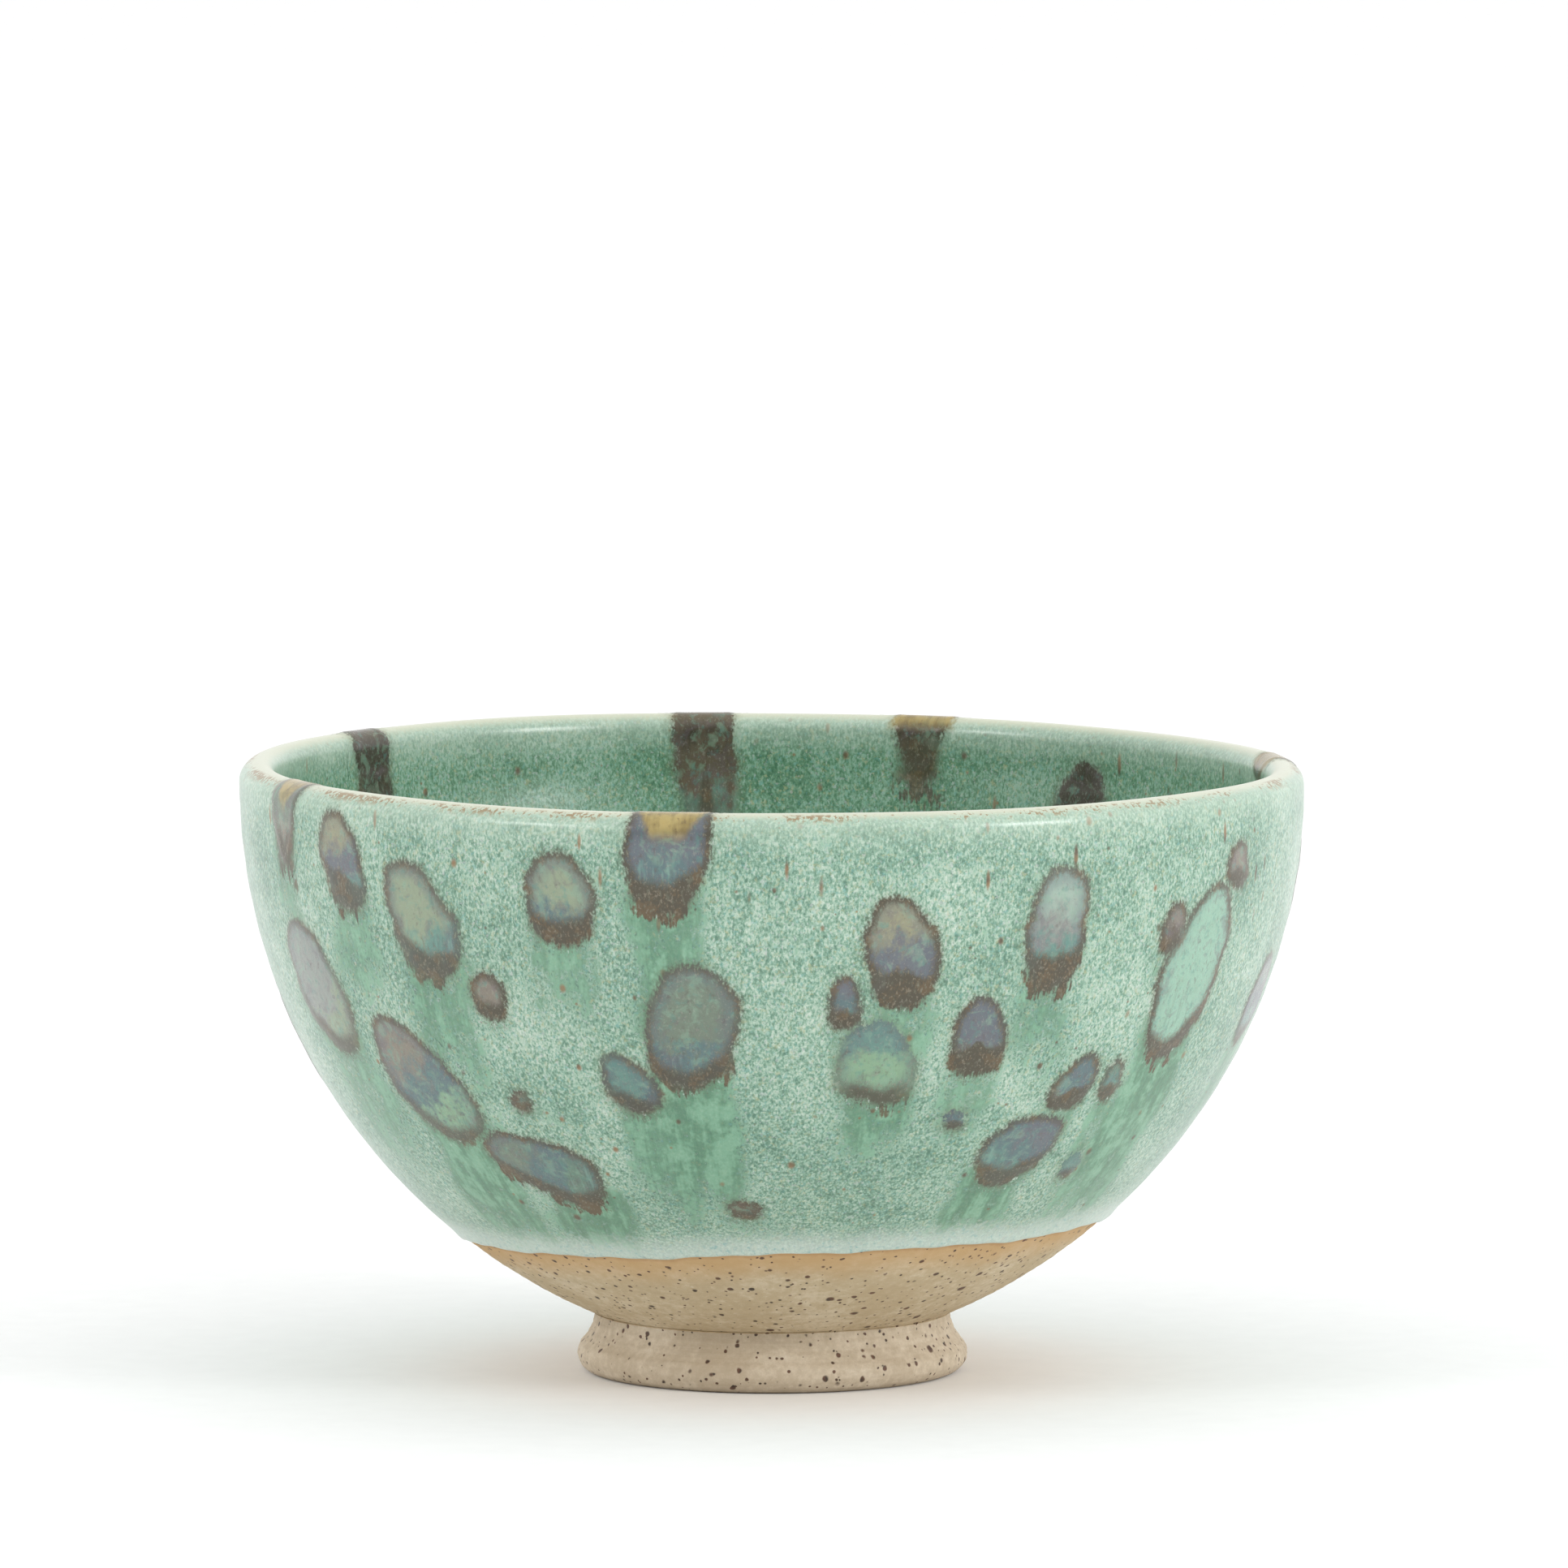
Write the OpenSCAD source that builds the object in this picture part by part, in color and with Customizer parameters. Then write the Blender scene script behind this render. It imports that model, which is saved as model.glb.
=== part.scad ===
// Matcha bowl: a wheel-thrown stoneware tea bowl on a flared foot ring.
// The clay carries a poured glaze inside and out, and drops of a second glaze
// that melted into it. The foot and the trimmed underside are left bare.
// Millimetres, +Z up. The origin is on the bowl's axis, on the surface it stands on.
// Bearings run round the axis from the front (-Y), positive towards the right (+X).

/* [Bowl] */
// Widest diameter, over the glaze at the rim
bowl_d = 120; // [98:1:146]
// Height from the table to the top of the rim
bowl_h = 69; // [57:1:84]
// Thickness of the rim, over the glaze
lip_t = 4.1; // [3:0.1:6]
// Thickness of the floor above the foot joint, with its glaze
floor_t = 5; // [3.5:0.1:8]

/* [Trimmed underside] */
// Diameter of the clay where the thrown wall meets the trimmed underside
trim_d = 77; // [66:1:86]
// Height of that corner
trim_h = 19; // [16:0.5:23]
// Radius of the slight outward curve of the trimmed underside
under_arc_r = 125; // [60:5:300]

/* [Foot ring] */
// Height of the foot, from the table to its joint with the bowl
foot_h = 7.1; // [5.5:0.1:9]
// Largest diameter of the foot, low on its flare
foot_d = 44.1; // [41.5:0.1:54]
// Diameter of the neck, where the foot meets the bowl
neck_d = 40.1; // [33:0.1:41.5]
// Radius of the foot's rounded outer edge
foot_edge_r = 2; // [1:0.1:2.5]
// Inside diameter of the foot at the joint
foot_in_d = 30; // [22:0.5:31]
// How much the inside of the foot opens out from the joint to the table
foot_draft = 0.8; // [0:0.1:1.2]
// Chamfer along the inside of the standing ring
land_chamfer = 0.8; // [0.3:0.1:1.2]
// Rise of the turned dish inside the foot
recess_rise = 0.8; // [0.3:0.1:1.5]

/* [Glaze] */
// Thickness of the glaze on the walls
coat = 0.45; // [0.3:0.05:0.8]
// Thickness of the glaze where it thins out on the trimmed underside
under_coat = 0.2; // [0.15:0.05:0.3]
// Height of the glaze line where its plane crosses the axis
glaze_line_h = 16.4; // [15:0.1:18]
// Tilt of the glaze line, in degrees
glaze_tilt = 2.75; // [0:0.25:4]
// Bearing of the side where the glaze line is highest
glaze_high_side = 45; // [-180:5:180]
// Thickness that the second glaze's drops add
drop_t = 0.2; // [0.1:0.05:0.4]

/* [Hidden] */
$fn = 180;

// Rim: a half circle over the wall, centred at lip_x, lip_z
lip_r = lip_t / 2;
lip_x = bowl_d / 2 - lip_r;
lip_z = bowl_h - lip_r;

// Outer wall: one arc, upright at the rim and passing through the trimmed corner of the
// clay, its radius kept to hundredths so that it meets the rim without a step
trim_r = trim_d / 2;
trim_in = bowl_d / 2 - coat - trim_r;
trim_down = lip_z - trim_h;
wall_r = round(100 * (coat + (pow(trim_down, 2) + pow(trim_in, 2)) / (2 * trim_in))) / 100;
wall_x = bowl_d / 2 - wall_r;

// Underside: one arc from the neck to the trimmed corner, bulging down and out
neck_r = neck_d / 2;
under_run = [trim_r - neck_r, trim_h - foot_h];
under_mid = [trim_r + neck_r, trim_h + foot_h] / 2;
under_pull = sqrt(pow(under_arc_r, 2) - pow(norm(under_run) / 2, 2)) / norm(under_run);
under_centre = under_mid + under_pull * [-under_run.y, under_run.x];

// The trimmed corner stands out where the wall comes down to it steeper than the
// underside leaves it. On a wider or a lower bowl it turns into a hollow corner
wall_slope = (trim_r - wall_x) / trim_down;
under_slope = (trim_r - under_centre.x) / (under_centre.y - trim_h);
corner_stands_out = wall_slope > under_slope;
CORNER_LAP = 1;

// Inside: a wall arc upright at the rim and a floor arc level on the axis. They share
// a tangent on a line of 3-4-5 slope, which makes both radii plain sums of the hollow's
// half width and depth
TURN = [0.8, -0.6];
cavity_w = bowl_d / 2 - lip_t;
floor_z = foot_h + floor_t;
cavity_h = lip_z - floor_z;
cavity_wall_r = 2 * cavity_h - cavity_w;
cavity_floor_r = 1.5 * cavity_w - 0.5 * cavity_h;
cavity_wall_x = cavity_w - cavity_wall_r;
cavity_floor_z = floor_z + cavity_floor_r;

// Foot: a hollow flare that is upright at the joint and runs into the round edge
foot_r = foot_d / 2;
edge_x = foot_r - foot_edge_r;
flare_gap = neck_r - edge_x;
flare_rise = foot_h - foot_edge_r;
flare_r = (pow(flare_gap, 2) + pow(flare_rise, 2) - pow(foot_edge_r, 2))
          / (2 * (foot_edge_r - flare_gap));
flare_x = neck_r + flare_r;
foot_in_r = foot_in_d / 2;
recess_arc_r = (pow(foot_in_r, 2) + pow(recess_rise, 2)) / (2 * recess_rise);

// Drops and cuts
BIG = 2 * (bowl_d + bowl_h);
DROP_SIDES = 20;
DROP_REACH = 3;
EGG = 0.12;

// Drops on the outside: bearing, height as a percentage of the way from the glaze
// line to the rim, width, length along the wall, lean of the top to the right
OUTER_DROPS = [
    [-53, 86, 7.2, 10.5, -18],
    [-41, 75, 9, 13, -22],
    [-23, 82, 8, 9.6, 14],
    [-63, 57, 10.5, 16.5, -28],
    [-33, 60, 4, 5.4, -15],
    [-47, 39, 10.5, 17, -30],
    [-9, 55, 10.4, 14.2, 8],
    [-17, 42, 5, 8.2, -30],
    [-32, 22, 8, 14, -62],
    [-32, 37, 2.2, 2.6, 0],
    [-4, 14, 2.4, 3.4, -65],
    [14, 71, 7.8, 12.6, -5],
    [8, 60, 3.4, 5.8, 0],
    [12, 47, 9, 9.6, 0],
    [32, 75, 7.8, 13, 3],
    [24, 52, 6.4, 8.8, 5],
    [54, 62, 9.4, 21, 16],
    [60, 84, 4.4, 5, 10],
    [49, 72, 4.2, 5.2, 12],
    [39, 40, 5, 7.2, 25],
    [45, 40, 3, 4.4, 0],
    [34, 26, 8.8, 10, 35],
    [23, 34, 2.4, 2.2, 0],
    [45, 21, 2.6, 3.6, 0],
    [76, 52, 7, 11, 10],
    [92, 74, 8, 12, -6],
    [103, 46, 10, 15, 12],
    [117, 83, 6, 9, 4],
    [124, 32, 8, 10, -20],
    [135, 64, 9, 13, -12],
    [147, 80, 5, 7, 0],
    [155, 42, 10, 14, 10],
    [167, 70, 8, 11, 6],
    [175, 25, 6, 8, -30],
    [186, 55, 9, 14, -15],
    [198, 82, 7, 9, 8],
    [206, 36, 8, 12, 20],
    [216, 66, 10, 15, -8],
    [227, 48, 5, 7, 0],
    [235, 78, 8, 10, 12],
    [243, 28, 8, 9, 25],
    [253, 60, 9, 13, -10],
    [265, 82, 6, 8, 5],
    [271, 40, 8, 12, 14]
];

// Drops inside, on the wall arc: bearing, angle below level, width, length, lean
LINER_DROPS = [
    [140, 8, 7, 11, 0],
    [35, 17, 7, 9, 10],
    [-20, 27, 9, 12, -8],
    [-75, 20, 6, 9, 0],
    [84, 32, 8, 11, 6],
    [184, 35, 7, 10, -12]
];

// Drops over the rim: bearing, width, reach down the outside, reach down the inside
RIM_DROPS = [
    [-65, 7, 8.5, 2.6],
    [-11, 8.6, 15.5, 2.6],
    [-125, 6.4, 3, 12],
    [-172, 7, 4, 16],
    [162, 6.6, 3, 6.5],
    [100, 7.4, 13, 3]
];

module disc(x, z, r) { translate([x, z]) circle(r); }

// Section between two heights, right of the axis
module level_band(z0, z1) { translate([0, z0]) square([BIG, z1 - z0]); }

// Everything inside the wall arc, with its skin taken off by "skin"
module wall_disc(skin) { disc(wall_x, lip_z, wall_r - skin); }

// Everything inside the underside's arc, where the skin thins out
module under_disc(skin) {
    disc(under_centre.x, under_centre.y, under_arc_r + under_coat * (1 - skin / coat));
}

// Outside outline below the rim, with its skin taken off by "skin". At a corner that
// stands out each arc trims the other, and at a hollow corner one carries on the other
module outer_lower(skin) {
    intersection() {
        level_band(foot_h, lip_z);
        if (corner_stands_out) {
            intersection() {
                wall_disc(skin);
                under_disc(skin);
            }
        } else {
            union() {
                wall_disc(skin);
                intersection() {
                    under_disc(skin);
                    level_band(foot_h, trim_h + CORNER_LAP);
                }
            }
        }
    }
}

// Hollow of the bowl below the rim, with its wall pushed back by "skin": what is left
// of the level band when the ground outside the wall arc and the floor arc is cut away
module cavity_lower(skin) {
    wall_c = [cavity_wall_x, lip_z];
    floor_c = [0, cavity_floor_z];
    turn_far = BIG * TURN;
    difference() {
        level_band(0, lip_z);
        difference() {
            polygon([wall_c, wall_c + turn_far, [BIG, lip_z]]);
            disc(wall_c.x, wall_c.y, cavity_wall_r + skin);
        }
        difference() {
            polygon([floor_c, [0, -BIG], floor_c + turn_far]);
            disc(floor_c.x, floor_c.y, cavity_floor_r + skin);
        }
    }
}

// Half of the round rim: side 1 is the outer quarter, side -1 the inner quarter
module lip_quarter(skin, side) {
    intersection() {
        disc(lip_x, lip_z, lip_r - skin);
        translate([side > 0 ? lip_x : lip_x - lip_t, lip_z]) square(lip_t);
    }
}

// Layer of the outside between two depths of skin, from the foot to the crest
module outer_skin(top, base) {
    difference() { outer_lower(top); outer_lower(base); }
    difference() { lip_quarter(top, 1); lip_quarter(base, 1); }
}

// Layer of the inside between two depths of skin, from the floor to the crest
module liner_skin(top, base) {
    difference() { cavity_lower(base); cavity_lower(top); }
    difference() { lip_quarter(top, -1); lip_quarter(base, -1); }
}

module body_section() {
    difference() {
        outer_lower(coat);
        cavity_lower(coat);
        disc(0, foot_h + recess_rise - recess_arc_r, recess_arc_r);
    }
    lip_quarter(coat, 1);
    lip_quarter(coat, -1);
}

// Foot ring: a square-cornered outline, less the hollow of the flare and less what
// lies outside the rounded edge
module foot_section() {
    difference() {
        polygon([
            [foot_in_r, foot_h], [flare_x, foot_h], [flare_x, 0],
            [foot_in_r + foot_draft + land_chamfer, 0],
            [foot_in_r + foot_draft, land_chamfer]
        ]);
        disc(flare_x, foot_h, flare_r);
        difference() {
            polygon([[edge_x, foot_edge_r], [edge_x, -1], [flare_x + 1, -1],
                     [flare_x + 1, foot_h], [flare_x, foot_h]]);
            disc(edge_x, foot_edge_r, foot_edge_r);
        }
    }
}

// Everything below the tilted glaze line
module below_glaze_line() {
    translate([0, 0, glaze_line_h])
        rotate([0, -glaze_tilt, glaze_high_side - 90])
            translate([-BIG, -BIG, -BIG]) cube([2 * BIG, 2 * BIG, BIG]);
}

// Outline of a drop: an egg, fuller towards its lower end, leaning by "lean"
module drop_outline(w, l, lean) {
    rotate([0, 0, -lean])
        polygon([for (i = [0 : DROP_SIDES - 1])
            let (a = (i + 0.5) * 360 / DROP_SIDES)
            [w / 2 * cos(a) * (1 - EGG * sin(a)), l / 2 * sin(a)]]);
}

// Plug with a drop's outline, standing square to a wall arc of radius arc_r centred
// at arc_x, lip_z, at the angle "down" below level
module drop_plug(bearing, down, arc_x, arc_r, w, l, lean) {
    rotate([0, 0, bearing - 90])
        translate([arc_x, 0, lip_z])
            rotate([0, down, 0])
                translate([arc_r - DROP_REACH, 0, 0])
                    rotate([90, 0, 90])
                        linear_extrude(2 * DROP_REACH) drop_outline(w, l, lean);
}

// Tongue that runs over the rim, square below "from" and round at its lower end
module rim_tongue(x, w, reach) {
    translate([x, 0, bowl_h])
        rotate([90, 0, 90])
            linear_extrude(lip_t + DROP_REACH)
                polygon(concat([[w / 2, DROP_REACH]], [[-w / 2, DROP_REACH]],
                    [for (i = [0 : DROP_SIDES / 2])
                        let (a = 180 + i * 360 / DROP_SIDES)
                        [w / 2 * cos(a), -reach + w / 2 + w / 2 * sin(a)]]));
}

module bowl_body() {
    color([0.69, 0.62, 0.5]) rotate_extrude() body_section();
}

module foot_ring() {
    color([0.66, 0.59, 0.48]) rotate_extrude() foot_section();
}

module outer_glaze() {
    color([0.63, 0.75, 0.68])
        difference() {
            rotate_extrude() outer_skin(0, coat);
            below_glaze_line();
        }
}

module liner_glaze() {
    color([0.54, 0.66, 0.58]) rotate_extrude() liner_skin(0, coat);
}

module outer_drops() {
    rise = bowl_h - glaze_line_h;
    color([0.49, 0.5, 0.46])
        intersection() {
            rotate_extrude() outer_skin(-drop_t, 0);
            union() {
                for (d = OUTER_DROPS) {
                    down = asin((lip_z - glaze_line_h - rise * d[1] / 100) / wall_r);
                    drop_plug(d[0], down, wall_x, wall_r, d[2], d[3], d[4]);
                }
            }
        }
}

module liner_drops() {
    color([0.33, 0.3, 0.25])
        intersection() {
            rotate_extrude() liner_skin(-drop_t, 0);
            union() {
                for (d = LINER_DROPS) {
                    drop_plug(d[0], d[1], cavity_wall_x, cavity_wall_r, d[2], d[3], d[4]);
                }
            }
        }
}

module rim_drops() {
    color([0.55, 0.5, 0.32])
        intersection() {
            rotate_extrude() {
                outer_skin(-drop_t, 0);
                liner_skin(-drop_t, 0);
            }
            union() {
                for (d = RIM_DROPS) {
                    rotate([0, 0, d[0] - 90]) {
                        rim_tongue(lip_x, d[1], d[2]);
                        rim_tongue(lip_x - lip_t - DROP_REACH, d[1], d[3]);
                    }
                }
            }
        }
}

bowl_body();
foot_ring();
outer_glaze();
liner_glaze();
rim_drops();
outer_drops();
liner_drops();
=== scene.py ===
import math

import bmesh
import bpy
import numpy as np
from mathutils import Matrix, Vector


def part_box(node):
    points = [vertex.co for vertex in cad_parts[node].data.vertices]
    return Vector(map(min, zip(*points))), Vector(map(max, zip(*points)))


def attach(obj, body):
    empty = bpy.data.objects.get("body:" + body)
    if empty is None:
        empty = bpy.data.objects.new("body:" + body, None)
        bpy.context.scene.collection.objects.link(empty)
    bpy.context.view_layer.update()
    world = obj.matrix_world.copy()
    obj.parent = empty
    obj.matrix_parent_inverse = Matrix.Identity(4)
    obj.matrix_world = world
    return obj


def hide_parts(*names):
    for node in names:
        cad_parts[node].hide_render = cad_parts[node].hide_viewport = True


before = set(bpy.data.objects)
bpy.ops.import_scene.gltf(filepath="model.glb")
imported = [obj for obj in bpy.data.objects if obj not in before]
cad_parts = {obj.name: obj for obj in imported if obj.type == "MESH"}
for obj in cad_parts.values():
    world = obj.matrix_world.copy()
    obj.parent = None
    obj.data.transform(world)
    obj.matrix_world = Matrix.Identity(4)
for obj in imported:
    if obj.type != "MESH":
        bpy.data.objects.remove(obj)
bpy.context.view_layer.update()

# ---- Sizes, in millimetres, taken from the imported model
MM = 0.001
glaze_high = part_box("outer_glaze")[1] / MM
foot_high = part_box("foot_ring")[1] / MM
floor_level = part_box("liner_glaze")[0].z / MM

BOWL_R = glaze_high.x
RIM_Z = glaze_high.z
FOOT_R = foot_high.x
FOOT_Z = foot_high.z
COAT = 0.45
UNDER_COAT = 0.2
UNDER_LAP = 0.02
FLOOR_Z = floor_level + COAT

# The rim is fuller outside than inside
LIP_RISE = 2.05
LIP_OUT = 2.4
LIP_IN = 1.7
LIP_Z = RIM_Z - LIP_RISE
CREST_R = BOWL_R - LIP_OUT

# Arcs of the wall, the trimmed underside and the hollow
WALL_ARC = 65.59
TRIM_R, TRIM_Z = 38.5, 19.0
UNDER_ARC = 125.0
HOLLOW_WALL_ARC = 53.8
HOLLOW_TURN = math.degrees(math.atan2(-3, 4))
NECK_R = 20.05
RECESS_R = 15.0
RECESS_RISE = 0.8

# Glaze line: a tilted level with a small wave, and a soft roll along its edge
LINE_Z = 16.4
LINE_TILT = 0.034
ROLL_RISE = 0.17

rng = np.random.default_rng(11)


def deg(angle):
    return math.radians(angle)


def ease(value, start, end):
    """0 at start, 1 at end, with a soft turn at both; start may be the larger."""
    step = np.clip((value - start) / (end - start), 0.0, 1.0)
    return step * step * (3.0 - 2.0 * step)


# ---- Outline of the glazed bowl, as a path from the middle of the floor, up the
# inside, over the crest and down the outside to the neck
def arc(centre, radii, start, end):
    turn = np.radians(np.linspace(start, end, 400))
    return np.column_stack([centre[0] + radii[0] * np.cos(turn),
                            centre[1] + radii[1] * np.sin(turn)])


class Outline:
    """The path as evenly spaced points, with `along` measured from the crest: below
    zero inside, above zero outside. Corners are softened over ROUNDING points a side."""

    STEP = 0.1
    ROUNDING = 7

    def __init__(self, pieces):
        points = np.vstack(pieces)
        gaps = np.hypot(*np.diff(points, axis=0).T)
        keep = np.concatenate([[True], gaps > 1e-6])
        points = points[keep]
        along = np.concatenate([[0], np.cumsum(np.hypot(*np.diff(points, axis=0).T))])
        even = np.arange(0, along[-1], self.STEP)
        path = np.column_stack([np.interp(even, along, points[:, i]) for i in (0, 1)])
        n = self.ROUNDING
        padded = np.vstack([2 * path[0] - path[n:0:-1], path, 2 * path[-1] - path[-2:-n - 2:-1]])
        window = np.hanning(2 * n + 3)[1:-1]
        window /= window.sum()
        path = np.column_stack([np.convolve(padded[:, i], window, "valid") for i in (0, 1)])
        crest = int(np.argmax(path[:, 1]))
        self.along = even - even[crest]
        self.r, self.z = path.T
        tangent = np.gradient(path, self.STEP, axis=0)
        tangent /= np.hypot(*tangent.T)[:, None]
        self.lean = np.column_stack([-tangent[:, 1], tangent[:, 0]])
        outer = slice(crest, None)
        self.outer_z = self.z[outer][::-1]
        self.outer_along = self.along[outer][::-1]
        self.inner_z = self.z[:crest]
        self.inner_along = self.along[:crest]

    def at(self, along, depth=0.0):
        """Radius and height on the path, or `depth` mm under it."""
        r = np.interp(along, self.along, self.r)
        z = np.interp(along, self.along, self.z)
        lean_r = np.interp(along, self.along, self.lean[:, 0])
        lean_z = np.interp(along, self.along, self.lean[:, 1])
        return r - depth * lean_r, z - depth * lean_z

    def outside(self, z):
        return np.interp(z, self.outer_z, self.outer_along)

    def inside(self, z):
        return np.interp(z, self.inner_z, self.inner_along)


hollow_half = BOWL_R - LIP_OUT - LIP_IN
hollow_floor_arc = 1.5 * hollow_half - 0.5 * (LIP_Z - FLOOR_Z)
wall_centre = (BOWL_R - WALL_ARC, LIP_Z)
hollow_centre = (hollow_half - HOLLOW_WALL_ARC, LIP_Z)
lip_centre = (CREST_R, LIP_Z)
under_radii = (UNDER_ARC + UNDER_COAT,) * 2


def through(first, second, radius):
    """Centre, above and left of the chord, of the arc that joins two points."""
    chord = np.subtract(second, first)
    length = np.hypot(*chord)
    pull = math.sqrt(radius ** 2 - (length / 2) ** 2) / length
    return np.add(first, second) / 2 + pull * np.array([-chord[1], chord[0]])


def crossing(centre_a, radius_a, centre_b, radius_b):
    """The lower of the points where two circles cross."""
    gap = np.subtract(centre_b, centre_a)
    far = np.hypot(*gap)
    reach = (far ** 2 + radius_a ** 2 - radius_b ** 2) / (2 * far)
    side = math.sqrt(radius_a ** 2 - reach ** 2)
    along = gap / far
    across = np.array([-along[1], along[0]])
    base = np.add(centre_a, along * reach)
    return min(base + side * across, base - side * across, key=lambda q: q[1])


def bearing_of(centre, point):
    return math.degrees(math.atan2(point[1] - centre[1], point[0] - centre[0]))


under_centre = through((NECK_R, FOOT_Z), (TRIM_R, TRIM_Z), UNDER_ARC)
corner = crossing(wall_centre, WALL_ARC, under_centre, under_radii[0])

skin = Outline([
    arc((0, FLOOR_Z + hollow_floor_arc), (hollow_floor_arc,) * 2, -90, HOLLOW_TURN),
    arc(hollow_centre, (HOLLOW_WALL_ARC,) * 2, HOLLOW_TURN, 0),
    arc(lip_centre, (LIP_IN, LIP_RISE), 180, 90),
    arc(lip_centre, (LIP_OUT, LIP_RISE), 90, 0),
    arc(wall_centre, (WALL_ARC,) * 2, 0, bearing_of(wall_centre, corner)),
    arc(under_centre, under_radii, bearing_of(under_centre, corner),
        bearing_of(under_centre, (NECK_R, FOOT_Z))),
])
EDGE_ALONG = float(skin.outside(LINE_Z))
POLE_ALONG = float(skin.along[0])

# Past this the outside coat is stretched to reach the glaze line
HOLD_ALONG = EDGE_ALONG - 14.0

# Here, just inside the crest, the outside coat laps over the inside one
LAP_ALONG = -0.5


def line_height(bearing, r):
    """Height of the glaze line at each bearing, in mm."""
    tilt = LINE_TILT * r * (np.sin(bearing) + np.cos(bearing))
    wave = (0.16 * np.sin(5 * bearing + 1.0) + 0.1 * np.sin(11 * bearing + 2.3)
            + 0.07 * np.sin(23 * bearing) + 0.05 * np.sin(47 * bearing + 0.6))
    return LINE_Z + tilt + wave


def line_along(bearing):
    """How far from the crest the glaze stops, at each bearing."""
    along = np.full_like(bearing, EDGE_ALONG)
    for _ in range(4):
        along = skin.outside(line_height(bearing, skin.at(along)[0]))
    return along


def set_down(bearing, r, z):
    """Places points in the bowl with the small unevenness of throwing and firing."""
    height = np.clip((z - FOOT_Z) / (RIM_Z - FOOT_Z), 0.0, 1.0)
    near_axis = np.clip(r / 12.0, 0.0, 1.0)
    rings = (0.026 * np.sin(math.tau * z / 5.3 + bearing + 0.5 * np.sin(2 * bearing))
             + 0.012 * np.sin(math.tau * z / 2.1 - bearing))
    sway = 0.1 * np.cos(2 * (bearing - deg(35))) + 0.05 * np.sin(3 * bearing + 1.0)
    out = near_axis * np.sqrt(height) * (rings + height * sway)
    dip = 0.27 * height ** 6 * np.sin(bearing) * (1 - np.cos(bearing))
    ripple = 0.05 * height ** 8 * np.sin(7 * bearing + 1.2)
    return upright(bearing, r + out, z - dip + ripple)


def upright(bearing, r, z):
    """Bearing 0 is the front, and bearings grow to the right."""
    return np.column_stack([r * np.sin(bearing), -r * np.cos(bearing), z])


def bearing_at(points):
    return np.arctan2(points[:, 0], -points[:, 1])


# ---- Drops of the second glaze
def srgb(r, g, b):
    def linear(c):
        c /= 255.0
        return c / 12.92 if c <= 0.04045 else ((c + 0.055) / 1.055) ** 2.4
    return (linear(r), linear(g), linear(b), 1.0)


# Hues of the drops, by the letters in the tables: khaki, sage, pale, green, leaf, violet,
# blue, teal, mushroom, earth, dark, olive, ash and under-green
HUES = {
    "k": (144, 144, 116), "s": (140, 154, 128), "p": (152, 174, 160), "g": (142, 182, 160),
    "l": (130, 164, 132), "v": (100, 106, 112), "b": (88, 112, 114), "t": (98, 136, 126),
    "m": (130, 122, 108), "e": (96, 86, 70), "d": (62, 56, 44), "o": (110, 124, 108),
    "a": (138, 145, 138), "u": (98, 126, 110),
}

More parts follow.
